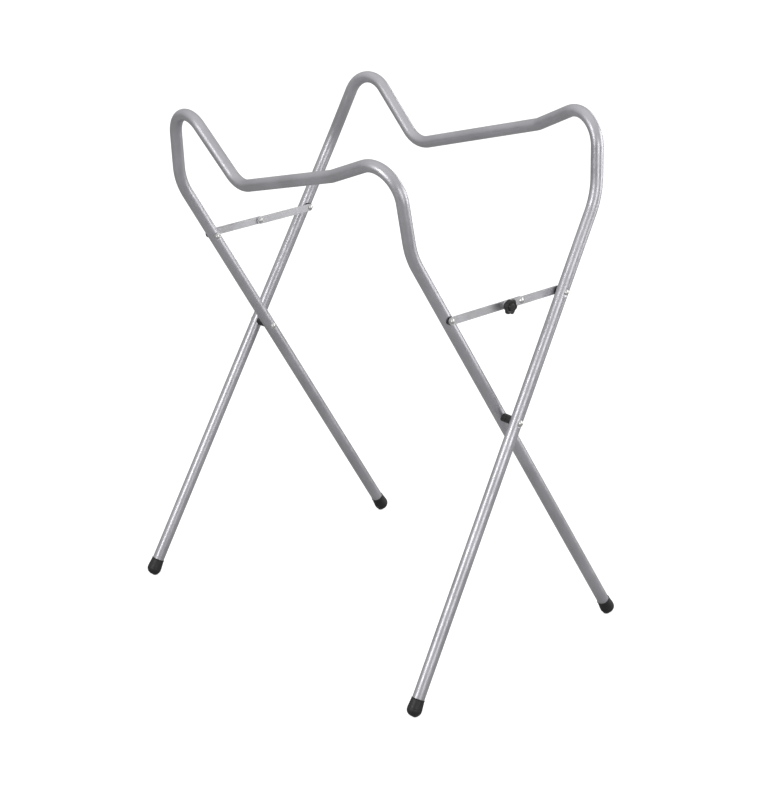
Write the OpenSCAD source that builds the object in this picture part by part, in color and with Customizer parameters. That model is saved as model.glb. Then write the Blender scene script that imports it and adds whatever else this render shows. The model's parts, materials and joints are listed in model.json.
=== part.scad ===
// Folding sawhorse: two bent tube frames that cross as a scissor and are held
// open by a hinged pair of flat bars at each end. Units are millimetres, +Z is
// up, and the origin is on the floor under the middle of the stand. X runs
// along the rails, and the frames lean apart along Y.

/* [Tube] */
// Outer diameter of the frame tube
tube_d = 19; // [17:0.5:20]
// Wall thickness of the frame tube
tube_wall = 1.5; // [1:0.1:2]
// Centre-line radius of the bends in the rail
bend_r = 48; // [45:1:52]
// Centre-line radius of the bend where a leg meets the upper frame
knee_r = 122; // [110:1:125]

/* [Stance] */
// Height of the scissor pivot above the floor
pivot_h = 400; // [395:1:405]
// Angle of each leg from the vertical when open
leg_angle = 30; // [29:0.5:31]
// Half the distance between the legs of the inner frame
inner_half = 282; // [278:1:284]
// Half the distance between the legs of the outer frame at the pivot
outer_half = 317; // [316:1:322]
// Angle by which the legs of the outer frame spread towards the floor
splay = 2.6; // [2:0.1:2.6]

/* [Inner frame] */
// Height of the left knee
inner_left_knee = 680; // [670:1:685]
// Height of the right knee
inner_right_knee = 685; // [680:1:695]
// Left peak before bending: along X, out from the middle, height
inner_left_peak = [-253, 186, 843]; // [-270:1:860]
// Lowest corner of the rail: along X, out from the middle, height
inner_low = [-97, 180, 713]; // [-110:1:720]
// Slight bend in the rising rail: along X, out from the middle, height
inner_rise = [151, 198, 783]; // [130:1:800]
// Right peak before bending: along X, out from the middle, height
inner_right_peak = [287, 193, 838]; // [180:1:850]

/* [Outer frame] */
// Height of the left knee
outer_left_knee = 682; // [675:1:690]
// Height of the right knee
outer_right_knee = 708; // [700:1:720]
// Left peak before bending: along X, out from the middle, height
outer_left_peak = [-238, 184, 827]; // [-260:1:840]
// Lowest corner of the rail: along X, out from the middle, height
outer_low = [-105, 178, 708]; // [-115:1:715]
// Slight bend in the rising rail: along X, out from the middle, height
outer_rise = [161, 194, 786]; // [140:1:800]
// Right peak before bending: along X, out from the middle, height
outer_right_peak = [293, 190, 849]; // [180:1:860]

/* [Braces] */
// Distance from the scissor pivot to a brace pivot along the leg
brace_r = 205; // [195:1:215]
// Height of the flat bar
bar_w = 12; // [10:0.5:14]
// Thickness of the flat bar
bar_t = 2.5; // [2:0.1:2.6]
// Distance from a bar's leg pivot to its end
bar_end = 5; // [4.5:0.1:6]
// How far the locked brace's inner bar runs on past its middle pivot
tail_l = 35; // [35:1:38]
// Distance from the middle pivot to the stop rivet
stop_l = 30.5; // [30:0.5:31]

/* [Rivets] */
// Shank diameter of the scissor pivot rivets
pivot_d = 8; // [6:0.5:8]
// Head diameter of the scissor pivot rivets
pivot_head_d = 11; // [10:0.5:12]
// Shank diameter of the brace rivets
rivet_d = 5; // [4:0.5:6]
// Head diameter of the brace rivets
rivet_head_d = 9; // [8:0.5:10]
// Radial clearance of a rivet in its hole
fit = 0.05; // [0.02:0.01:0.1]

/* [Saddles] */
// Diameter of the saddle spacers at the scissor pivots
pivot_saddle_d = 13; // [12:0.5:14]
// Diameter of the saddle spacers at the brace ends
brace_saddle_d = 13; // [12:0.5:14]

/* [Lock knob] */
// Thread diameter of the lock bolt
bolt_d = 6; // [5:0.5:6]
// Diameter over the knob's lobes
knob_d = 24; // [22:0.5:28]
// Number of lobes on the knob
knob_lobes = 6; // [5:1:7]
// Angle by which the knob is turned when tight
knob_turn = 17; // [0:1:60]
// Thickness of the lobed part of the knob
knob_t = 5; // [4.5:0.5:7]

/* [Feet] */
// Height of the centre of a cap's round end above the floor
foot_h = 12.3; // [12.2:0.1:13]
// Largest radius of a cap
cap_r = 11.5; // [11.5:0.1:12]
// Radius of a cap's collar
collar_r = 10.5; // [10.5:0.1:11]
// Distance from the centre of the round end to the top of the collar
cap_l = 16; // [14:0.5:22]
// Radius of the flat tread under a cap
tread_r = 4.5; // [3:0.5:5]

/* [Hidden] */
$fn = 96;

left = -1;
right = 1;
inner = -1;
outer = 1;
tube_r = tube_d / 2;
bore_r = tube_r - tube_wall;
gap = 0.3;

// A straight length of tube laps into the bends, which are a hair wider
lap = 0.5;
swell = 0.15;

// How far a shank is run into its head
head_lap = 0.5;

// How far a rivet head's seat is pressed into the side of a tube
seat_depth = 0.6;
tube_end = -5;
cap_floor = tube_end - 0.1;
tread_t = 2.4;

// The flat bars lie in two layers between the inner and the outer leg. Layers
// are measured outwards from the inner leg's outer side.
near_layer = 1.7;
far_layer = near_layer + bar_t + gap;
bar_l = brace_r * sin(leg_angle);
bar_h = pivot_h + brace_r * cos(leg_angle);

// ---- Placing ----

function unit(v) = v / norm(v);

function leg_x(frame, z) =
    frame == inner ? inner_half : outer_half + (pivot_h - z) * tan(splay);

function leg_point(frame, side, z) =
    [side * leg_x(frame, z), frame * (z - pivot_h) * tan(leg_angle), z];

function leg_up(frame, side) =
    unit(leg_point(frame, side, pivot_h) - leg_point(frame, side, 0));

function foot_point(frame, side, along) =
    leg_point(frame, side, foot_h) + along * leg_up(frame, side);

function rail_point(frame, p) = [p[0], frame * p[1], p[2]];

// X of a point that many millimetres outwards from the inner leg's outer side
function layer_x(side, layer) = side * (inner_half + tube_r + layer);

// On the right the inner bar lies in the near layer, on the left in the far
// one, so that the outer bar is the one towards +X at both ends.
function bar_layer(frame, side) =
    (frame == inner) == (side == right) ? near_layer : far_layer;

function frame_points(frame, knees, rail) = concat(
    [foot_point(frame, left, tube_end), leg_point(frame, left, knees[0])],
    [for (p = rail) rail_point(frame, p)],
    [leg_point(frame, right, knees[1]), foot_point(frame, right, tube_end)]
);

inner_points = frame_points(
    inner, [inner_left_knee, inner_right_knee],
    [inner_left_peak, inner_low, inner_rise, inner_right_peak]
);
outer_points = frame_points(
    outer, [outer_left_knee, outer_right_knee],
    [outer_left_peak, outer_low, outer_rise, outer_right_peak]
);
bend_radii = [0, knee_r, bend_r, bend_r, bend_r, bend_r, knee_r, 0];

// Puts the child's origin at c, its X along x and its Y along y
module place(c, x, y) {
    z = cross(x, y);
    multmatrix([
        [x[0], y[0], z[0], c[0]],
        [x[1], y[1], z[1], c[1]],
        [x[2], y[2], z[2], c[2]]
    ]) children();
}

// Puts the child's origin at c and its Z along d, which is not along X
module point_along(c, d) {
    z = unit(d);
    x = unit([1, 0, 0] - z[0] * z);
    place(c, x, cross(z, x)) children();
}

// Puts the child at p with its Z pointing along +X or -X
module facing(p, dir) {
    translate(p) rotate([0, dir * 90, 0]) children();
}

// ---- Bent tube ----

function bend_turn(p, i) = acos(unit(p[i] - p[i - 1]) * unit(p[i + 1] - p[i]));

function setback(p, r, i) =
    i == 0 || i == len(p) - 1 ? 0 : r[i] * tan(bend_turn(p, i) / 2);

// Straight length of a rod, run a little way into the bends at its ends. A
// free end is run on by `over` instead.
module straight(p, r, i, rod_r, over) {
    d = unit(p[i + 1] - p[i]);
    before = i == 0 ? over : lap;
    after = i == len(p) - 2 ? over : lap;
    start = p[i] + d * (setback(p, r, i) - before);
    finish = p[i + 1] - d * (setback(p, r, i + 1) - after);
    point_along(start, d) cylinder(r = rod_r, h = norm(finish - start));
}

module elbow(p, r, i, rod_r) {
    a = unit(p[i] - p[i - 1]);
    b = unit(p[i + 1] - p[i]);
    n = unit(b - (a * b) * a);
    centre = p[i] - a * setback(p, r, i) + n * r[i];
    place(centre, -n, a)
        rotate_extrude(angle = bend_turn(p, i))
            translate([r[i], 0]) circle(rod_r + swell);
}

module bent_rod(p, r, rod_r, over) {
    for (i = [0 : len(p) - 2]) straight(p, r, i, rod_r, over);
    for (i = [1 : len(p) - 2]) elbow(p, r, i, rod_r);
}

// Hole through both walls of a leg, along X
module cross_hole(frame, side, z, r) {
    translate(leg_point(frame, side, z))
        rotate([0, 90, 0]) cylinder(r = r, h = tube_d + 4, center = true);
}

// Flat pressed into the side of a leg, for a rivet head to sit on
module head_seat(frame, side, z, dir, r) {
    translate([dir * (tube_r - seat_depth), 0, 0])
        facing(leg_point(frame, side, z), dir) cylinder(r = r, h = 3);
}

module leg_drilling(frame, side) {
    inwards = -side;
    head_side = frame == inner ? inwards : side;
    cross_hole(frame, side, pivot_h, pivot_d / 2 + fit);
    cross_hole(frame, side, bar_h, rivet_d / 2 + fit);
    head_seat(frame, side, pivot_h, head_side, pivot_head_d / 2 + 0.5);
    head_seat(frame, side, bar_h, head_side, rivet_head_d / 2 + 0.5);
}

module frame_tube(frame, points) {
    color("silver") difference() {
        bent_rod(points, bend_radii, tube_r, 0);
        bent_rod(points, bend_radii, bore_r, 1);
        leg_drilling(frame, left);
        leg_drilling(frame, right);
    }
}

module inner_frame() { frame_tube(inner, inner_points); }
module outer_frame() { frame_tube(outer, outer_points); }

// ---- Rubber feet ----

cap_round_r = 10;
cap_flat_r = cap_r - cap_round_r;

// Half outline of a cap: tapered collar, round end and the bore for the tube
module cap_outline() {
    bore = tube_r + 0.1;
    difference() {
        union() {
            polygon([
                [0, -cap_r], [cap_flat_r, -cap_r], [cap_r, -cap_flat_r],
                [cap_r, 1], [collar_r, cap_l - 1.5],
                [collar_r, cap_l - 0.5], [collar_r - 0.4, cap_l], [0, cap_l]
            ]);
            intersection() {
                translate([cap_flat_r, -cap_flat_r]) circle(cap_round_r);
                translate([0, -cap_r]) square([cap_r, cap_r]);
            }
        }
        translate([-1, cap_floor]) square([bore + 1, cap_l - cap_floor + 1]);
    }
}

// Point on the floor under the lowest point of a cap's round end
function tread_point(frame, side) =
    let (
        up = leg_up(frame, side),
        outward = unit(up[2] * up - [0, 0, 1]),
        c = foot_point(frame, side, -cap_flat_r) + cap_flat_r * outward
    ) [c[0], c[1], 0];

// A cap with the small flat tread that it rests on
module foot(frame, side) {
    color("#1c1c1c") {
        point_along(foot_point(frame, side, 0), leg_up(frame, side))
            rotate_extrude() cap_outline();
        translate(tread_point(frame, side)) cylinder(r = tread_r, h = tread_t);
    }
}

module inner_left_foot() { foot(inner, left); }
module inner_right_foot() { foot(inner, right); }
module outer_left_foot() { foot(outer, left); }
module outer_right_foot() { foot(outer, right); }

// ---- Rivets ----

// Low domed head standing on Z = 0
module dome(r, h) {
    ball = (r * r + h * h) / (2 * h);
    rotate_extrude() intersection() {
        translate([0, h - ball]) circle(ball);
        square([r, h]);
    }
}

// Rivet along X at height and depth (y, z), with a domed head at both ends
module rivet(y, z, x1, x2, shank_r, head_r, head_h) {
    low = min(x1, x2);
    high = max(x1, x2);
    facing([low - head_lap, y, z], right)
        cylinder(r = shank_r, h = high - low + 2 * head_lap);
    facing([high, y, z], right) dome(head_r, head_h);
    facing([low, y, z], left) dome(head_r, head_h);
}

module pivot_rivet(side) {
    head_in = side * (inner_half - tube_r + seat_depth);
    head_out = side * (outer_half + tube_r - seat_depth + gap);
    color("gainsboro")
        rivet(0, pivot_h, head_in, head_out, pivot_d / 2, pivot_head_d / 2, 3);
}

module left_pivot_rivet() { pivot_rivet(left); }
module right_pivot_rivet() { pivot_rivet(right); }

// Rivet that holds the end of a bar against its leg
module bar_rivet(frame, side) {
    p = leg_point(frame, side, bar_h);
    layer = bar_layer(frame, side);
    away = frame == inner ? -side : side;
    tube_face = p[0] + away * (tube_r - seat_depth);
    bar_face = layer_x(side, frame == inner ? layer + bar_t + gap / 2 : layer - gap / 2);
    color("gainsboro")
        rivet(p[1], p[2], tube_face, bar_face, rivet_d / 2, rivet_head_d / 2, 2.2);
}

module left_inner_bar_rivet() { bar_rivet(inner, left); }
module right_inner_bar_rivet() { bar_rivet(inner, right); }
module left_outer_bar_rivet() { bar_rivet(outer, left); }
module right_outer_bar_rivet() { bar_rivet(outer, right); }

// ---- Saddle spacers ----

// Spacer from x1, its flat face, to x2, hollowed to fit over a leg and drilled
module saddle(frame, side, z, x1, x2, r, hole_r) {
    p = leg_point(frame, side, z);
    color("#222222") difference() {
        facing([min(x1, x2), p[1], z], right) cylinder(r = r, h = abs(x2 - x1));
        point_along(p - 40 * leg_up(frame, side), leg_up(frame, side))
            cylinder(r = tube_r + 0.1, h = 80);
        facing([min(x1, x2) - 1, p[1], z], right) cylinder(r = hole_r, h = abs(x2 - x1) + 2);
    }
}

module pivot_saddle(frame, side) {
    middle = (inner_half + outer_half) / 2;
    flat_face = middle + frame * gap / 2;
    wings = leg_x(frame, pivot_h) - frame * tube_r * 0.45;
    saddle(
        frame, side, pivot_h, side * flat_face, side * wings,
        pivot_saddle_d / 2, pivot_d / 2 + fit
    );
}

module left_inner_saddle() { pivot_saddle(inner, left); }
module right_inner_saddle() { pivot_saddle(inner, right); }
module left_outer_saddle() { pivot_saddle(outer, left); }
module right_outer_saddle() { pivot_saddle(outer, right); }

module bar_saddle(frame, side) {
    layer = bar_layer(frame, side);
    flat_face = layer_x(side, frame == inner ? layer - 0.1 : layer + bar_t + 0.1);
    wings = side * (leg_x(frame, bar_h) - frame * tube_r * 0.62);
    saddle(
        frame, side, bar_h, flat_face, wings,
        brace_saddle_d / 2, rivet_d / 2 + fit
    );
}

module left_inner_bar_saddle() { bar_saddle(inner, left); }
module right_inner_bar_saddle() { bar_saddle(inner, right); }
module left_outer_bar_saddle() { bar_saddle(outer, left); }
module right_outer_bar_saddle() { bar_saddle(outer, right); }

// ---- Brace bars ----

// Outline of a bar with its leg pivot at the origin and a round end past length l
module bar_outline(l) {
    start = bar_w / 2 - bar_end;
    translate([start, 0]) circle(bar_w / 2);
    translate([l, 0]) circle(bar_w / 2);
    translate([start, -bar_w / 2]) square([l - start, bar_w]);
}

// Puts a flat outline, drawn from the leg towards the middle, into its layer
module bar_plate(frame, side) {
    layer = bar_layer(frame, side);
    x = layer_x(side, side == right ? layer : layer + bar_t);
    y = leg_point(frame, side, bar_h)[1];
    color("lightgray") place([x, y, bar_h], [0, -frame, 0], [0, 0, 1])
        translate([0, 0, frame == inner ? 0 : -bar_t])
            linear_extrude(bar_t) children();
}

module bar_holes(hole_r) {
    circle(rivet_d / 2 + fit);
    translate([bar_l, 0]) circle(hole_r + fit);
}

module plain_bar(frame, side) {
    bar_plate(frame, side) difference() {
        bar_outline(bar_l);
        bar_holes(rivet_d / 2);
    }
}

module left_inner_bar() { plain_bar(inner, left); }
module left_outer_bar() { plain_bar(outer, left); }

// Inner bar of the locked brace, whose tail rests on the stop rivet
module right_inner_bar() {
    notch = bar_l + bar_w / 2 - 3;
    bar_plate(inner, right) difference() {
        bar_outline(bar_l + tail_l - bar_w / 2);
        bar_holes(bolt_d / 2);
        translate([notch, -bar_w])
            square([tail_l, bar_w + rivet_d / 2 + 0.2]);
    }
}

module right_outer_bar() {
    bar_plate(outer, right) difference() {
        bar_outline(bar_l);
        bar_holes(bolt_d / 2);
        translate([bar_l - stop_l, 0]) circle(rivet_d / 2 + fit);
    }
}

// ---- Middle pivots ----

// Half of a middle pivot: a head outside a bar and a shank through it. The
// pivot is parted between the bars, so each half turns with its own bar.
module half_pin(frame, side, shank_r, head_r, head_h) {
    layer = bar_layer(frame, side);
    front = frame == outer;
    inside = layer_x(side, front == (side == right) ? layer : layer + bar_t);
    outside = layer_x(side, front == (side == right) ? layer + bar_t : layer);
    dir = front ? right : left;
    facing([inside, 0, bar_h], dir) cylinder(r = shank_r, h = bar_t + head_lap);
    facing([outside, 0, bar_h], dir) dome(head_r, head_h);
}

module middle_rivet_front() {
    color("gainsboro") half_pin(outer, left, rivet_d / 2, rivet_head_d / 2, 2.2);
}

module middle_rivet_back() {
    color("gainsboro") half_pin(inner, left, rivet_d / 2, rivet_head_d / 2, 2.2);
}

module lock_bolt_head() {
    color("gainsboro") half_pin(inner, right, bolt_d / 2, 6, 2.6);
}

module lock_bolt_shank() {
    length = 12;
    tip = 1;
    color("gainsboro")
        facing([layer_x(right, far_layer), 0, bar_h], right) union() {
            cylinder(r = bolt_d / 2, h = length - tip);
            translate([0, 0, length - tip])
                cylinder(r1 = bolt_d / 2, r2 = bolt_d / 2 - 0.8, h = tip);
        }
}

// Riveted to the outer bar, with its tail head under the inner bar's tongue
module stop_rivet() {
    color("gainsboro")
        rivet(
            stop_l, bar_h,
            layer_x(right, near_layer), layer_x(right, far_layer + bar_t),
            rivet_d / 2, rivet_head_d / 2, 1.8
        );
}

// ---- Lock knob ----

washer_r = 6.2;
washer_t = 1.2;
washer_x = layer_x(right, far_layer + bar_t + 0.1);
hub_t = 5;
knob_x = washer_x + washer_t + 0.1;
insert_r = 4.5;
hub_r = 7.5;

module lock_washer() {
    color("gainsboro") facing([washer_x, 0, bar_h], right) difference() {
        cylinder(r = washer_r, h = washer_t);
        translate([0, 0, -1]) cylinder(r = bolt_d / 2 + 0.2, h = washer_t + 2);
    }
}

// Outline of the knob: low round lobes on a round core
module knob_outline() {
    lobe_r = knob_d * 0.15;
    circle(knob_d * 0.41);
    for (i = [0 : knob_lobes - 1])
        rotate(knob_turn + 360 / knob_lobes * i)
            translate([knob_d / 2 - lobe_r, 0]) circle(lobe_r);
}

module lock_knob() {
    color("#181818") facing([knob_x, 0, bar_h], right) difference() {
        union() {
            cylinder(r = hub_r, h = hub_t + 1);
            translate([0, 0, hub_t]) linear_extrude(knob_t) knob_outline();
            translate([0, 0, hub_t + knob_t - 1]) cylinder(r = hub_r - 2, h = 2.5);
        }
        translate([0, 0, -1]) cylinder(r = insert_r, h = hub_t + knob_t);
    }
}

module lock_insert() {
    length = hub_t + knob_t - 1.2;
    color("goldenrod") facing([knob_x, 0, bar_h], right) difference() {
        cylinder(r = insert_r, h = length);
        translate([0, 0, -1]) cylinder(r = bolt_d / 2 + fit, h = length + 2);
    }
}

inner_frame();
outer_frame();
inner_left_foot();
inner_right_foot();
outer_left_foot();
outer_right_foot();
left_pivot_rivet();
right_pivot_rivet();
left_inner_saddle();
right_inner_saddle();
left_outer_saddle();
right_outer_saddle();
left_inner_bar();
right_inner_bar();
left_outer_bar();
right_outer_bar();
left_inner_bar_rivet();
right_inner_bar_rivet();
left_outer_bar_rivet();
right_outer_bar_rivet();
left_inner_bar_saddle();
right_inner_bar_saddle();
left_outer_bar_saddle();
right_outer_bar_saddle();
middle_rivet_front();
middle_rivet_back();
lock_bolt_shank();
lock_bolt_head();
stop_rivet();
lock_washer();
lock_knob();
lock_insert();
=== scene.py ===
"""Folding sawhorse: detailed pieces, materials, floor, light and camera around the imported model.

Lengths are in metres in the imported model's frame: +Z up, +X along the rails, origin on the floor
under the middle of the stand.
"""

import json
import math

import bmesh
import bpy
from mathutils import Matrix, Vector


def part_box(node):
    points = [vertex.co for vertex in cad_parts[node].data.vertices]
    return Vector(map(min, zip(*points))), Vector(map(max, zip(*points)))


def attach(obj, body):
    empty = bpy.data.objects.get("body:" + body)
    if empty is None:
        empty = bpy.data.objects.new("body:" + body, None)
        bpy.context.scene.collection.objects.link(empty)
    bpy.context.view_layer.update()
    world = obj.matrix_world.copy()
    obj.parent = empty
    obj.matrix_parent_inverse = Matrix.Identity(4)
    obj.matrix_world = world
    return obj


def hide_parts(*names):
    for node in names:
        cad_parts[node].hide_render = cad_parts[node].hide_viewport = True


MM = 0.001
X, Z = Vector((1, 0, 0)), Vector((0, 0, 1))
LEFT, RIGHT = -1, 1
INNER, OUTER = -1, 1
SIDE_NAME = {LEFT: "left", RIGHT: "right"}
FRAME_NAME = {INNER: "inner", OUTER: "outer"}

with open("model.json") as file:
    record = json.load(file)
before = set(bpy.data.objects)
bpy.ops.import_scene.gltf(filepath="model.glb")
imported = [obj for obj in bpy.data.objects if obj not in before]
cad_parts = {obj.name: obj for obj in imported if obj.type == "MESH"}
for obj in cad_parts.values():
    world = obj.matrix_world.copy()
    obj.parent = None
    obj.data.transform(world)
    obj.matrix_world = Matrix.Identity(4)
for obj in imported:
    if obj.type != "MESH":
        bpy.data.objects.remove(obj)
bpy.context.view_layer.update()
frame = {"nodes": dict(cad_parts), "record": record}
nodes = frame["nodes"]


# ---- The stand's shape ----
# These are the driving dimensions of the CAD frames, in millimetres.

TUBE_R = 9.5
PIVOT_H = 400
LEG_ANGLE = math.radians(30)
SPLAY = math.radians(2.6)
INNER_HALF = 282
OUTER_HALF = 317
BRACE_R = 205
BRACE_H = PIVOT_H + BRACE_R * math.cos(LEG_ANGLE)
FOOT_H = 12.3
TUBE_END = -5
KNEE_R = 122
BEND_R = 48
KNEES = {INNER: (680, 685), OUTER: (682, 708)}
RAILS = {
    INNER: [(-253, 186, 843), (-97, 180, 713), (151, 198, 783), (287, 193, 838)],
    OUTER: [(-238, 184, 827), (-105, 178, 708), (161, 194, 786), (293, 190, 849)],
}


def leg_point(which, side, height):
    """Point on a leg's centre line, in metres, at a height in millimetres."""
    x = INNER_HALF if which == INNER else OUTER_HALF + (PIVOT_H - height) * math.tan(SPLAY)
    return Vector((side * x, which * (height - PIVOT_H) * math.tan(LEG_ANGLE), height)) * MM


def leg_up(which, side):
    return (leg_point(which, side, PIVOT_H) - leg_point(which, side, 0)).normalized()


def foot_point(which, side, along=0):
    return leg_point(which, side, FOOT_H) + along * MM * leg_up(which, side)


def frame_corners(which):
    """Corner points of a frame's centre line and the bend radius at each, from foot to foot."""
    left_knee, right_knee = KNEES[which]
    rail = [Vector((x, which * out, z)) * MM for x, out, z in RAILS[which]]
    corners = [foot_point(which, LEFT, TUBE_END), leg_point(which, LEFT, left_knee)]
    corners += rail
    corners += [leg_point(which, RIGHT, right_knee), foot_point(which, RIGHT, TUBE_END)]
    radii = [0, KNEE_R] + [BEND_R] * len(rail) + [KNEE_R, 0]
    return corners, [r * MM for r in radii]


# ---- Mesh helpers ----


def finish_mesh(name, bm, material, smooth_deg=40):
    """Makes an object from a bmesh, shaded smooth except at edges sharper than smooth_deg."""
    bmesh.ops.recalc_face_normals(bm, faces=bm.faces)
    mesh = bpy.data.meshes.new(name)
    bm.to_mesh(mesh)
    bm.free()
    obj = bpy.data.objects.new(name, mesh)
    bpy.context.scene.collection.objects.link(obj)
    mesh.materials.append(material)
    mesh.shade_smooth()
    mesh.set_sharp_from_angle(angle=math.radians(smooth_deg))
    return obj


def basis(origin, z_axis, x_hint=X):
    """Matrix whose Z is z_axis, at origin, with X as near x_hint as it can be."""
    z = z_axis.normalized()
    x = x_hint - z * z.dot(x_hint)
    if x.length < 1e-6:
        x = Z - z * z.dot(Z)
    x.normalize()
    y = z.cross(x)
    return Matrix.Translation(origin) @ Matrix((x, y, z)).transposed().to_4x4()


def bridge(bm, rings, close_ends=True):
    """Skins a list of equal rings of vertices. A ring of one vertex is a pole."""
    for low, high in zip(rings, rings[1:]):
        n = max(len(low), len(high))
        for i in range(n):
            j = (i + 1) % n
            if len(low) == 1:
                bm.faces.new((low[0], high[j], high[i]))
            elif len(high) == 1:
                bm.faces.new((low[i], low[j], high[0]))
            else:
                bm.faces.new((low[i], low[j], high[j], high[i]))
    if close_ends:
        for ring in (rings[0], rings[-1]):
            if len(ring) > 2:
                bm.faces.new(ring)


def lathe(bm, matrix, profile, sides=64, radius_at=None):
    """Turns a profile of (radius, height) points in millimetres about matrix's Z."""
    rings = []
    for radius, height in profile:
        if radius < 1e-6:
            rings.append([bm.verts.new(matrix @ (Vector((0, 0, height)) * MM))])
            continue
        ring = []
        for i in range(sides):
            a = 2 * math.pi * i / sides
            r = radius if radius_at is None else radius_at(radius, height, a)
            ring.append(bm.verts.new(matrix @ (Vector((r * math.cos(a), r * math.sin(a), height)) * MM)))
        rings.append(ring)
    bridge(bm, rings)


def arc(cx, cy, r, start_deg, end_deg, steps):
    """Points on an arc, both ends included."""
    turn = [start_deg + (end_deg - start_deg) * i / steps for i in range(steps + 1)]
    return [(cx + r * math.cos(math.radians(t)), cy + r * math.sin(math.radians(t))) for t in turn]


# ---- Materials ----


class Shader:
    """A node material with a Principled shader and a few short ways to add texture to it."""

    def __init__(self, name, color, roughness, metallic=0.0):
        self.material = bpy.data.materials.new(name)
        self.material.use_nodes = True
        self.tree = self.material.node_tree
        self.bsdf = self.tree.nodes["Principled BSDF"]
        self.bsdf.inputs["Base Color"].default_value = (*color, 1)
        self.bsdf.inputs["Roughness"].default_value = roughness
        self.bsdf.inputs["Metallic"].default_value = metallic
        self.material.diffuse_color = (*color, 1)
        self.coords = self.add("ShaderNodeTexCoord").outputs["Object"]

    def add(self, kind, **values):
        node = self.tree.nodes.new(kind)
        for key, value in values.items():
            setattr(node, key, value)
        return node

    def link(self, a, b):
        self.tree.links.new(a, b)

    def stretched(self, scale):
        """Object coordinates scaled by a vector."""
        node = self.add("ShaderNodeMapping")
        node.inputs["Scale"].default_value = scale
        self.link(self.coords, node.inputs["Vector"])
        return node.outputs["Vector"]

    def noise(self, size, detail=2, roughness=0.5, coords=None):
        """Noise of about that feature size in metres, from 0 to 1."""
        node = self.add("ShaderNodeTexNoise")
        node.inputs["Scale"].default_value = 1 / size
        node.inputs["Detail"].default_value = detail
        node.inputs["Roughness"].default_value = roughness
        self.link(coords or self.coords, node.inputs["Vector"])
        return node.outputs["Fac"]

    def cells(self, size):
        """Voronoi cell colours of about that size, as a grey value."""
        node = self.add("ShaderNodeTexVoronoi")
        node.inputs["Scale"].default_value = 1 / size
        self.link(self.coords, node.inputs["Vector"])
        grey = self.add("ShaderNodeRGBToBW")
        self.link(node.outputs["Color"], grey.inputs["Color"])
        return grey.outputs["Val"]

    def ramp(self, value, low, high, out_low=0.0, out_high=1.0):
        node = self.add("ShaderNodeMapRange", clamp=True, interpolation_type="SMOOTHSTEP")
        node.inputs["From Min"].default_value = low
        node.inputs["From Max"].default_value = high
        node.inputs["To Min"].default_value = out_low
        node.inputs["To Max"].default_value = out_high
        self.link(value, node.inputs["Value"])
        return node.outputs["Result"]

    def math(self, operation, a, b):
        node = self.add("ShaderNodeMath", operation=operation)
        for socket, value in zip(node.inputs, (a, b)):
            if isinstance(value, (int, float)):
                socket.default_value = value
            else:
                self.link(value, socket)
        return node.outputs["Value"]

    def mix(self, factor, a, b):
        """Mix of two colours. Each is a tuple or a socket."""
        node = self.add("ShaderNodeMix", data_type="RGBA")
        self.link(factor, node.inputs["Factor"])
        for key, value in (("A_Color", a), ("B_Color", b)):
            socket = next(s for s in node.inputs if s.identifier == key)
            if isinstance(value, tuple):
                socket.default_value = (*value, 1)
            else:
                self.link(value, socket)
        return next(s for s in node.outputs if s.identifier == "Result_Color")

    def bump(self, heights):
        """Chains bumps, each a (height socket, strength, distance in metres)."""
        normal = None
        for height, strength, distance in heights:
            node = self.add("ShaderNodeBump")
            node.inputs["Strength"].default_value = strength
            node.inputs["Distance"].default_value = distance
            self.link(height, node.inputs["Height"])
            if normal:
                self.link(normal, node.inputs["Normal"])
            normal = node.outputs["Normal"]
        self.link(normal, self.bsdf.inputs["Normal"])

    def set(self, socket, value):
        if isinstance(value, (int, float)):
            self.bsdf.inputs[socket].default_value = value
        else:
            self.link(value, self.bsdf.inputs[socket])


def silver_paint(name, color, roughness, scuff):
    """Silver paint: metal flake, slight orange peel, faint soiling and small rubbed marks."""
    s = Shader(name, color, roughness, metallic=0.85)
    broad = s.noise(0.07, 3)
    flake = s.cells(0.0006)
    light = tuple(min(1, c * 1.07) for c in color)
    dark = tuple(c * 0.9 for c in color)
    tone = s.mix(s.ramp(broad, 0.3, 0.7), dark, light)
    tone = s.mix(s.ramp(flake, 0.2, 0.9, 0.0, 0.15), tone, tuple(min(1, c * 1.25) for c in color))
    streaks = s.noise(0.004, 4, 0.65, s.stretched((1, 1, 0.12)))
    worn = s.ramp(streaks, 0.62, 0.78, 0, scuff)
    tone = s.mix(worn, tone, tuple(c * 0.6 for c in color))
    s.set("Base Color", tone)
    rough = s.math("ADD", s.ramp(s.noise(0.012, 3), 0.3, 0.7, roughness - 0.05, roughness + 0.05), worn)
    s.set("Roughness", rough)
    s.bump([(s.noise(0.006, 2), 0.03, 0.0001)])
    return s.material


def plated_steel(name, color, roughness):
    """Zinc-plated steel: fine turning marks, cloudy plating, a few dull spots."""
    s = Shader(name, color, roughness, metallic=1.0)
    cloud = s.noise(0.006, 3)
    tone = s.mix(s.ramp(cloud, 0.3, 0.7), tuple(c * 0.82 for c in color), color)
    spots = s.ramp(s.noise(0.0012, 2), 0.66, 0.76, 0, 0.5)
    s.set("Base Color", s.mix(spots, tone, tuple(c * 0.5 for c in color)))
    fine = s.noise(0.0004, 2)
    s.set("Roughness", s.ramp(fine, 0.3, 0.7, roughness - 0.06, roughness + 0.1))
    s.bump([(fine, 0.15, 0.00004), (s.noise(0.002, 2), 0.2, 0.00008)])
    return s.material


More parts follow.
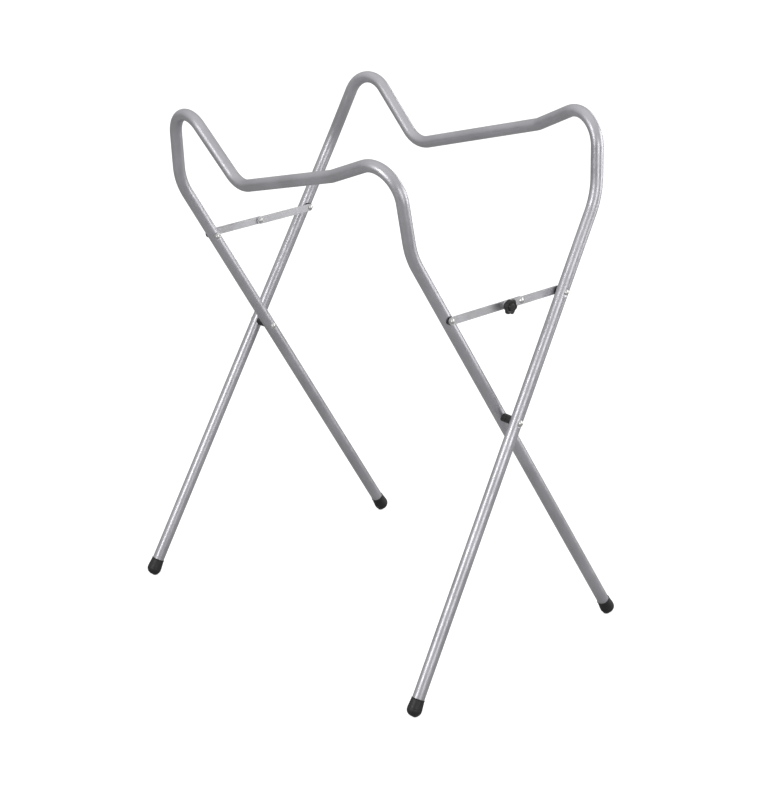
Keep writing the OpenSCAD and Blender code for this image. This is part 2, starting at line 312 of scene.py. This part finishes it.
def moulded(name, color, roughness, grain, dust=0.0):
    """Black moulded plastic or rubber: fine spark-eroded grain, paler rubbed patches, dust."""
    s = Shader(name, color, roughness)
    cloud = s.noise(0.008, 4, 0.6)
    pale = tuple(min(1, c * 2 + 0.004) for c in color)
    tone = s.mix(s.ramp(cloud, 0.42, 0.75, 0, 0.45), color, pale)
    rub = s.ramp(s.noise(0.0025, 3, 0.7), 0.6, 0.72, 0, 0.25)
    tone = s.mix(rub, tone, tuple(min(1, c + 0.02) for c in color))
    if dust:
        height = s.add("ShaderNodeSeparateXYZ")
        s.link(s.coords, height.inputs["Vector"])
        low = s.ramp(height.outputs["Z"], 0.001, 0.009, 1, 0)
        fleck = s.ramp(s.noise(0.0014, 3, 0.7), 0.35, 0.65, 0.2, 1)
        tone = s.mix(s.math("MULTIPLY", s.math("MULTIPLY", low, fleck), dust), tone, (0.23, 0.21, 0.19))
    s.set("Base Color", tone)
    s.set("Roughness", s.ramp(cloud, 0.3, 0.7, roughness - 0.07, roughness + 0.09))
    s.bump([(s.noise(grain, 2, 0.6), 0.35, 0.00006), (s.noise(0.004, 2), 0.15, 0.0001)])
    return s.material


def turned_brass(name):
    s = Shader(name, (0.72, 0.52, 0.24), 0.3, metallic=1.0)
    s.set("Base Color", s.mix(s.noise(0.004, 3), (0.55, 0.38, 0.16), (0.78, 0.58, 0.28)))
    s.bump([(s.noise(0.0005, 2, 0.5, s.stretched((6, 1, 1))), 0.2, 0.00004)])
    return s.material


PAINT = silver_paint("silver_tube_paint", (0.50, 0.495, 0.525), 0.38, scuff=0.07)
BAR_PAINT = silver_paint("silver_bar_paint", (0.60, 0.60, 0.625), 0.44, scuff=0.09)
PLATED = plated_steel("zinc_plated_steel", (0.70, 0.70, 0.69), 0.27)
PLASTIC = moulded("black_plastic", (0.008, 0.008, 0.0085), 0.42, grain=0.0005)
KNOB_PLASTIC = moulded("black_knob_plastic", (0.009, 0.009, 0.0095), 0.46, grain=0.0007)
RUBBER = moulded("black_rubber", (0.008, 0.008, 0.008), 0.50, grain=0.0006, dust=0.15)
BRASS = turned_brass("turned_brass")

SLOT_MATERIAL = {
    "tube_paint": PAINT,
    "bar_paint": BAR_PAINT,
    "rivet_steel": PLATED,
    "bolt_steel": PLATED,
    "washer_steel": PLATED,
    "saddle_plastic": PLASTIC,
    "knob_plastic": KNOB_PLASTIC,
    "insert_brass": BRASS,
    "foot_rubber": RUBBER,
}
NODE_SLOT = {s["node"]: s["material_slot"] for s in frame["record"]["subparts"]}
NODE_BODY = {n: b for b, ns in frame["record"]["behaviour"]["bodies"].items() for n in ns}


def stand_for(obj, node):
    """The piece stands for a CAD node: it goes on that node's body, and the node is hidden."""
    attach(obj, NODE_BODY[node])
    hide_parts(node)
    return obj


# ---- Camera ----

CAMERA_TARGET = Vector((0.0003, 0.0004, 0.3568))
CAMERA_DISTANCE = 3.8533
CAMERA_AZIMUTH = math.radians(50.90)
CAMERA_ELEVATION = math.radians(21.12)
CAMERA_ROLL = math.radians(-1.763)
LENS = 111.9


def make_camera():
    data = bpy.data.cameras.new("camera")
    data.lens = LENS
    data.sensor_width = 36
    data.clip_start, data.clip_end = 0.05, 60
    camera = bpy.data.objects.new("camera", data)
    bpy.context.scene.collection.objects.link(camera)
    level = math.cos(CAMERA_ELEVATION)
    back = Vector((
        math.sin(CAMERA_AZIMUTH) * level,
        -math.cos(CAMERA_AZIMUTH) * level,
        math.sin(CAMERA_ELEVATION),
    ))
    camera.rotation_mode = "QUATERNION"
    turned = (-back).to_track_quat("-Z", "Y").to_matrix() @ Matrix.Rotation(CAMERA_ROLL, 3, "Z")
    camera.rotation_quaternion = turned.to_quaternion()
    camera.location = CAMERA_TARGET + back * CAMERA_DISTANCE
    bpy.context.scene.camera = camera


make_camera()


# ---- Frame tubes ----

TUBE_SIDES = 64
STRAIGHT_STEP = 0.012
FINE_STEP = 0.0008
BEND_STEP = math.radians(2.5)
SEAT_DEPTH = 0.6 * MM
SEAT_R = 6.2 * MM
SEAT_FADE = 1 * MM
FINE_HALF = SEAT_R * 1.4
NEAR_LINE = 2 * MM
BEND_EASE_POWER = 0.5
SQUASH_IN_BEND = 0.025
SPREAD_IN_BEND = 0.011


def centre_line(which):
    """Stations along a frame: (point, direction, outward side of the bend or None, ease).

    They are close together near the rivets. The ease is how far the tube's section is flattened.
    """
    corners, radii = frame_corners(which)
    heads = [leg_point(which, side, h) for side in (LEFT, RIGHT) for h in (PIVOT_H, BRACE_H)]
    stations = []

    def run_straight(a, b):
        d = (b - a).normalized()
        length = (b - a).length
        cuts = [0.0, length]
        n = int(length / STRAIGHT_STEP)
        cuts += [length * i / (n + 1) for i in range(1, n + 1)]
        for head in heads:
            t = (head - a).dot(d)
            if 0 < t < length and (a + d * t - head).length < NEAR_LINE:
                k = int(FINE_HALF / FINE_STEP)
                cuts = [c for c in cuts if abs(c - t) > FINE_HALF or c in (0.0, length)]
                cuts += [t + i * FINE_STEP for i in range(-k, k + 1)]
        for c in sorted(cuts):
            stations.append((a + d * c, d, None, 0.0))

    start = corners[0]
    for i in range(1, len(corners) - 1):
        a = (corners[i] - corners[i - 1]).normalized()
        b = (corners[i + 1] - corners[i]).normalized()
        turn = math.acos(a.dot(b))
        setback = radii[i] * math.tan(turn / 2)
        n = (b - a * a.dot(b)).normalized()
        bend_start = corners[i] - a * setback
        centre = bend_start + n * radii[i]
        run_straight(start, bend_start)
        steps = max(4, round(turn / BEND_STEP))
        for k in range(1, steps):
            t = turn * k / steps
            out = -n * math.cos(t) + a * math.sin(t)
            along = a * math.cos(t) + n * math.sin(t)
            ease = math.sin(math.pi * k / steps) ** BEND_EASE_POWER * min(1, turn)
            stations.append((centre + out * radii[i], along, out, ease))
        start = corners[i] + b * setback
    run_straight(start, corners[-1])
    return stations


def tube_piece(which):
    """One bent tube: slightly flattened in its bends, with a pressed seat under each rivet head."""
    bm = bmesh.new()
    seats = []
    for side in (LEFT, RIGHT):
        facing = -side if which == INNER else side
        for h in (PIVOT_H, BRACE_H):
            seats.append((leg_point(which, side, h), facing))
    up = None
    rings = []
    for point, along, out, ease in centre_line(which):
        if up is None:
            up = (X - along * along.dot(X)).normalized()
        up = (up - along * along.dot(up)).normalized()
        across = along.cross(up)
        ring = []
        for i in range(TUBE_SIDES):
            a = 2 * math.pi * i / TUBE_SIDES
            n = up * math.cos(a) + across * math.sin(a)
            r = TUBE_R * MM
            if out is not None:
                inwards = abs(n.dot(out))
                r *= 1 - ease * (SQUASH_IN_BEND * inwards ** 2 - SPREAD_IN_BEND * (1 - inwards ** 2))
            p = point + n * r
            for seat, facing in seats:
                offset = p - seat
                if offset.length > 2 * TUBE_R * MM:
                    continue
                beside = math.hypot(offset.y, offset.z)
                depth = offset.x * facing - (TUBE_R * MM - SEAT_DEPTH)
                if beside < SEAT_R and depth > 0:
                    p.x -= facing * depth * min(1, (SEAT_R - beside) / SEAT_FADE)
            ring.append(bm.verts.new(p))
        rings.append(ring)
    bridge(bm, rings)
    name = FRAME_NAME[which] + "_frame"
    obj = finish_mesh(name + "_tube", bm, PAINT, smooth_deg=35)
    return stand_for(obj, name)


for which in (INNER, OUTER):
    tube_piece(which)


# ---- Rubber feet ----

CAP_R = 11.5
CAP_ROUND_R = 10
COLLAR_R = 10.5
COLLAR_LIP = 0.7
CAP_L = 16
TAPER_STEPS = 8
TREAD_R = 4.5
TREAD_EDGE = 0.5
TREAD_T = 1.6
CAP_SIDES = 72
TREAD_SIDES = 48


def foot_piece(which, side):
    """A moulded cap: round end, parting line, tapered body, rolled lip and a flat tread."""
    node = f"{FRAME_NAME[which]}_{SIDE_NAME[side]}_foot"
    up = leg_up(which, side)
    flat = CAP_R - CAP_ROUND_R
    profile = [(0, -CAP_R)]
    profile += arc(flat, -flat, CAP_ROUND_R, -90, 0, 16)
    profile += [(CAP_R, -0.5), (CAP_R - 0.15, -0.2), (CAP_R - 0.15, 0.1), (CAP_R, 0.4)]
    profile += [(CAP_R - 0.02, 1)]
    top = CAP_L - 2.2
    for i in range(1, TAPER_STEPS + 1):
        t = i / TAPER_STEPS
        profile.append((CAP_R - 0.02 + (COLLAR_R - 0.25 - CAP_R) * t, 1 + (top - 1) * t))
    profile += [(COLLAR_R - 0.25, top + 0.2)]
    profile += arc(COLLAR_R - COLLAR_LIP, CAP_L - COLLAR_LIP, COLLAR_LIP, -30, 90, 8)
    profile += [(TUBE_R + 0.15, CAP_L), (TUBE_R + 0.1, CAP_L - 0.3), (TUBE_R + 0.1, 0), (0, 0)]
    bm = bmesh.new()
    lathe(bm, basis(foot_point(which, side), up), profile, CAP_SIDES)
    low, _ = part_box(node)
    outward = (up * up.z - Z).normalized()
    middle = foot_point(which, side) + (outward - up) * flat * MM
    tread = [(0, 0)] + arc(TREAD_R - TREAD_EDGE, TREAD_EDGE, TREAD_EDGE, -90, 0, 5)
    tread += [(TREAD_R, TREAD_T), (0, TREAD_T)]
    lathe(bm, basis(Vector((middle.x, middle.y, low.z)), Z), tread, TREAD_SIDES)
    return stand_for(finish_mesh(node + "_cap", bm, RUBBER), node)


for which in (INNER, OUTER):
    for side in (LEFT, RIGHT):
        foot_piece(which, side)


# ---- Rivets ----

RIVET_SIDES = 48

# Head radius, head height and shank radius of each kind of rivet, in millimetres
PIVOT_RIVET = (5.5, 3.0, 4.0)
BAR_RIVET = (4.5, 2.2, 2.5)
STOP_RIVET = (4.5, 1.8, 2.5)
BOLT_HEAD = (6.0, 2.6, 3.0)


def head_profile(r, h, base):
    """Domed rivet head on height base: a short rolled edge, then the dome with a small flat pip."""
    edge = 0.35
    ball = (r * r + h * h) / (2 * h)
    span = math.degrees(math.asin(min(1, r / ball)))
    points = [(r - 0.12, base), (r, base + 0.12)]
    dome = arc(0, base + h - ball, ball, 90 - span, 90, 14)
    points += [(x, y) for x, y in dome if y > base + edge and x < r - 0.05 and x > 1e-6]
    points.append((0, base + h))
    return points


def rivet_piece(node, head_r, head_h, shank_r):
    """A rivet along X, as long as its CAD node, with a formed head at both ends."""
    low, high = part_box(node)
    centre = (low + high) / 2
    half = (high.x - low.x) / 2 / MM
    upper = head_profile(head_r, head_h, half - head_h)
    profile = [(x, -y) for x, y in reversed(upper)]
    profile += [(shank_r, -(half - head_h)), (shank_r, half - head_h)]
    profile += upper
    bm = bmesh.new()
    lathe(bm, basis(centre, X, Z), profile, RIVET_SIDES)
    return stand_for(finish_mesh(node + "_formed", bm, PLATED, smooth_deg=50), node)


for side in SIDE_NAME.values():
    rivet_piece(f"{side}_pivot_rivet", *PIVOT_RIVET)
    for which in FRAME_NAME.values():
        rivet_piece(f"{side}_{which}_bar_rivet", *BAR_RIVET)
rivet_piece("stop_rivet", *STOP_RIVET)


def half_rivet_piece(node, head_r, head_h, shank_r, head_towards):
    """Half of a middle pivot: a head on one side and a shank flush with the bar's other side."""
    low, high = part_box(node)
    centre = (low + high) / 2
    half = (high.x - low.x) / 2 / MM
    profile = [(0, -half), (shank_r, -half), (shank_r, half - head_h)]
    profile += head_profile(head_r, head_h, half - head_h)
    bm = bmesh.new()
    lathe(bm, basis(centre, X * head_towards, Z), profile, RIVET_SIDES)
    return stand_for(finish_mesh(node + "_formed", bm, PLATED, smooth_deg=50), node)


half_rivet_piece("middle_rivet_front", *BAR_RIVET, RIGHT)
half_rivet_piece("middle_rivet_back", *BAR_RIVET, LEFT)
half_rivet_piece("lock_bolt_head", *BOLT_HEAD, LEFT)


# ---- Lock knob ----

KNOB_LOBES = 6
KNOB_TURN = math.radians(17)
KNOB_SIDES = 144
LOBE_TIP = 12.0
LOBE_VALLEY = 9.9
LOBE_EDGE = 1.1
LOBE_T = 5.0
LOBE_POWER = 0.8
HUB_R = 7.5
HUB_T = 5.0


def knob_piece():
    """A lobed hand knob: round hub, lobes with rolled edges and a shallow dished face."""
    node = "lock_knob"
    low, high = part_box(node)
    centre = (low + high) / 2
    total = (high.x - low.x) / MM

    def lobed(radius, height, angle):
        share = max(0.0, min(1.0, (radius - HUB_R) / (LOBE_VALLEY - HUB_R)))
        wave = 0.5 + 0.5 * math.cos(KNOB_LOBES * (angle - KNOB_TURN))
        swell = share * (LOBE_TIP - LOBE_VALLEY) * wave ** LOBE_POWER
        return radius + swell * (radius / LOBE_VALLEY) ** 2

    top = HUB_T + LOBE_T
    profile = [(4.6, 0), (HUB_R - 0.4, 0), (HUB_R, 0.4), (HUB_R, HUB_T - 0.8)]
    profile += [(HUB_R + 0.4, HUB_T - 0.1)]
    profile += arc(LOBE_VALLEY - 0.8, HUB_T + 0.8, 0.8, -90, 0, 5)
    profile += [(LOBE_VALLEY, HUB_T + LOBE_T * 0.5)]
    profile += arc(LOBE_VALLEY - LOBE_EDGE, top - LOBE_EDGE, LOBE_EDGE, 0, 90, 8)
    profile += [(7.4, top - 0.05), (6.6, top - 0.5), (5.9, top - 0.55)]
    profile += [(5.5, top - 0.2), (5.5, total - 0.5), (5.0, total - 0.08), (3.6, total), (0, total)]
    bm = bmesh.new()
    matrix = basis(Vector((low.x, 0, centre.z)), X, -Z)
    lathe(bm, matrix, profile, KNOB_SIDES, lobed)
    return stand_for(finish_mesh("lock_knob_moulding", bm, KNOB_PLASTIC, smooth_deg=60), node)


knob_piece()


# ---- CAD nodes that stay: all get their material, and the moulded and turned ones round edges ----

WELD_DISTANCE = 0.01 * MM
SHARP_ANGLE = math.radians(50)
SADDLE_EDGE = 0.5 * MM
STEEL_EDGE = 0.2 * MM


def soften(node, width, segments):
    """Rounds a CAD node's sharp edges by modifiers and leaves its mesh alone."""
    obj = nodes[node]
    weld = obj.modifiers.new("weld", "WELD")
    weld.merge_threshold = WELD_DISTANCE
    bevel = obj.modifiers.new("bevel", "BEVEL")
    bevel.width = width
    bevel.segments = segments
    bevel.limit_method = "ANGLE"
    bevel.angle_limit = SHARP_ANGLE


for node, obj in nodes.items():
    obj.data.materials.clear()
    obj.data.materials.append(SLOT_MATERIAL[NODE_SLOT[node]])
    if node.endswith("_saddle"):
        soften(node, SADDLE_EDGE, 3)
    elif node in ("lock_washer", "lock_bolt_shank", "lock_insert"):
        soften(node, STEEL_EDGE, 2)


# ---- Floor, world and lights ----

LIGHT_AIM = Vector((0, 0, 0.45))
FLOOR_HALF = 12
FLOOR_GREY = 0.38
FLOOR_GLOW = 0.85
ROOM_LOW = 0.42
ROOM_HIGH = 1.2


def light_path_mix(tree, for_camera, for_light):
    """Mixes two shaders: what the camera sees straight, and what lights the stand."""
    path = tree.nodes.new("ShaderNodeLightPath")
    mix = tree.nodes.new("ShaderNodeMixShader")
    tree.links.new(path.outputs["Is Camera Ray"], mix.inputs[0])
    tree.links.new(for_light, mix.inputs[1])
    tree.links.new(for_camera, mix.inputs[2])
    return mix.outputs[0]


def emission(tree, strength, kind="ShaderNodeEmission"):
    node = tree.nodes.new(kind)
    node.inputs["Color"].default_value = (1, 1, 1, 1)
    node.inputs["Strength"].default_value = strength
    return node.outputs[0]


def make_floor():
    """A pale floor: white paper to the camera, and a dim grey bounce to the stand."""
    mesh = bpy.data.meshes.new("floor")
    bm = bmesh.new()
    bmesh.ops.create_grid(bm, x_segments=1, y_segments=1, size=FLOOR_HALF)
    bm.to_mesh(mesh)
    bm.free()
    floor = bpy.data.objects.new("floor", mesh)
    bpy.context.scene.collection.objects.link(floor)
    material = bpy.data.materials.new("pale_floor")
    material.use_nodes = True
    tree = material.node_tree
    tree.nodes.clear()
    output = tree.nodes.new("ShaderNodeOutputMaterial")
    matt = tree.nodes.new("ShaderNodeBsdfDiffuse")
    matt.inputs["Color"].default_value = (FLOOR_GREY, FLOOR_GREY, FLOOR_GREY, 1)
    both = tree.nodes.new("ShaderNodeAddShader")
    tree.links.new(emission(tree, FLOOR_GLOW), both.inputs[0])
    tree.links.new(matt.outputs[0], both.inputs[1])
    seen = light_path_mix(tree, both.outputs[0], matt.outputs[0])
    tree.links.new(seen, output.inputs["Surface"])
    mesh.materials.append(material)


def make_world():
    """White behind the stand, and a soft grey room, brighter overhead, for its light."""
    world = bpy.data.worlds.new("studio")
    bpy.context.scene.world = world
    world.use_nodes = True
    tree = world.node_tree
    tree.nodes.clear()
    output = tree.nodes.new("ShaderNodeOutputWorld")
    coords = tree.nodes.new("ShaderNodeTexCoord")
    split = tree.nodes.new("ShaderNodeSeparateXYZ")
    tree.links.new(coords.outputs["Generated"], split.inputs[0])
    height = tree.nodes.new("ShaderNodeMapRange")
    height.inputs["From Min"].default_value = -0.2
    height.inputs["From Max"].default_value = 1.0
    height.inputs["To Min"].default_value = ROOM_LOW
    height.inputs["To Max"].default_value = ROOM_HIGH
    tree.links.new(split.outputs["Z"], height.inputs["Value"])
    room = tree.nodes.new("ShaderNodeBackground")
    tree.links.new(height.outputs["Result"], room.inputs["Strength"])
    white = emission(tree, 1.0, "ShaderNodeBackground")
    tree.links.new(light_path_mix(tree, white, room.outputs[0]), output.inputs["Surface"])


def soft_box(name, azimuth, elevation, distance, width, height, power):
    """A soft box seen from the stand at an azimuth from +X and an elevation, in degrees."""
    level = math.cos(math.radians(elevation))
    towards = Vector((
        math.cos(math.radians(azimuth)) * level,
        math.sin(math.radians(azimuth)) * level,
        math.sin(math.radians(elevation)),
    ))
    data = bpy.data.lights.new(name, "AREA")
    data.shape = "RECTANGLE"
    data.size = width
    data.size_y = height
    data.energy = power
    light = bpy.data.objects.new(name, data)
    bpy.context.scene.collection.objects.link(light)
    light.location = LIGHT_AIM + towards * distance
    light.rotation_mode = "QUATERNION"
    light.rotation_quaternion = (-towards).to_track_quat("-Z", "Y")


make_floor()
make_world()
soft_box("key", -88, 24, 2.6, 0.8, 1.3, 18)
soft_box("front", -12, 8, 2.8, 1.2, 1.2, 11)
soft_box("side", 54, 8, 2.6, 1.5, 1.5, 19)
soft_box("rim", 98, 14, 2.4, 0.8, 1.0, 7)

bpy.context.scene.view_settings.view_transform = "Standard"
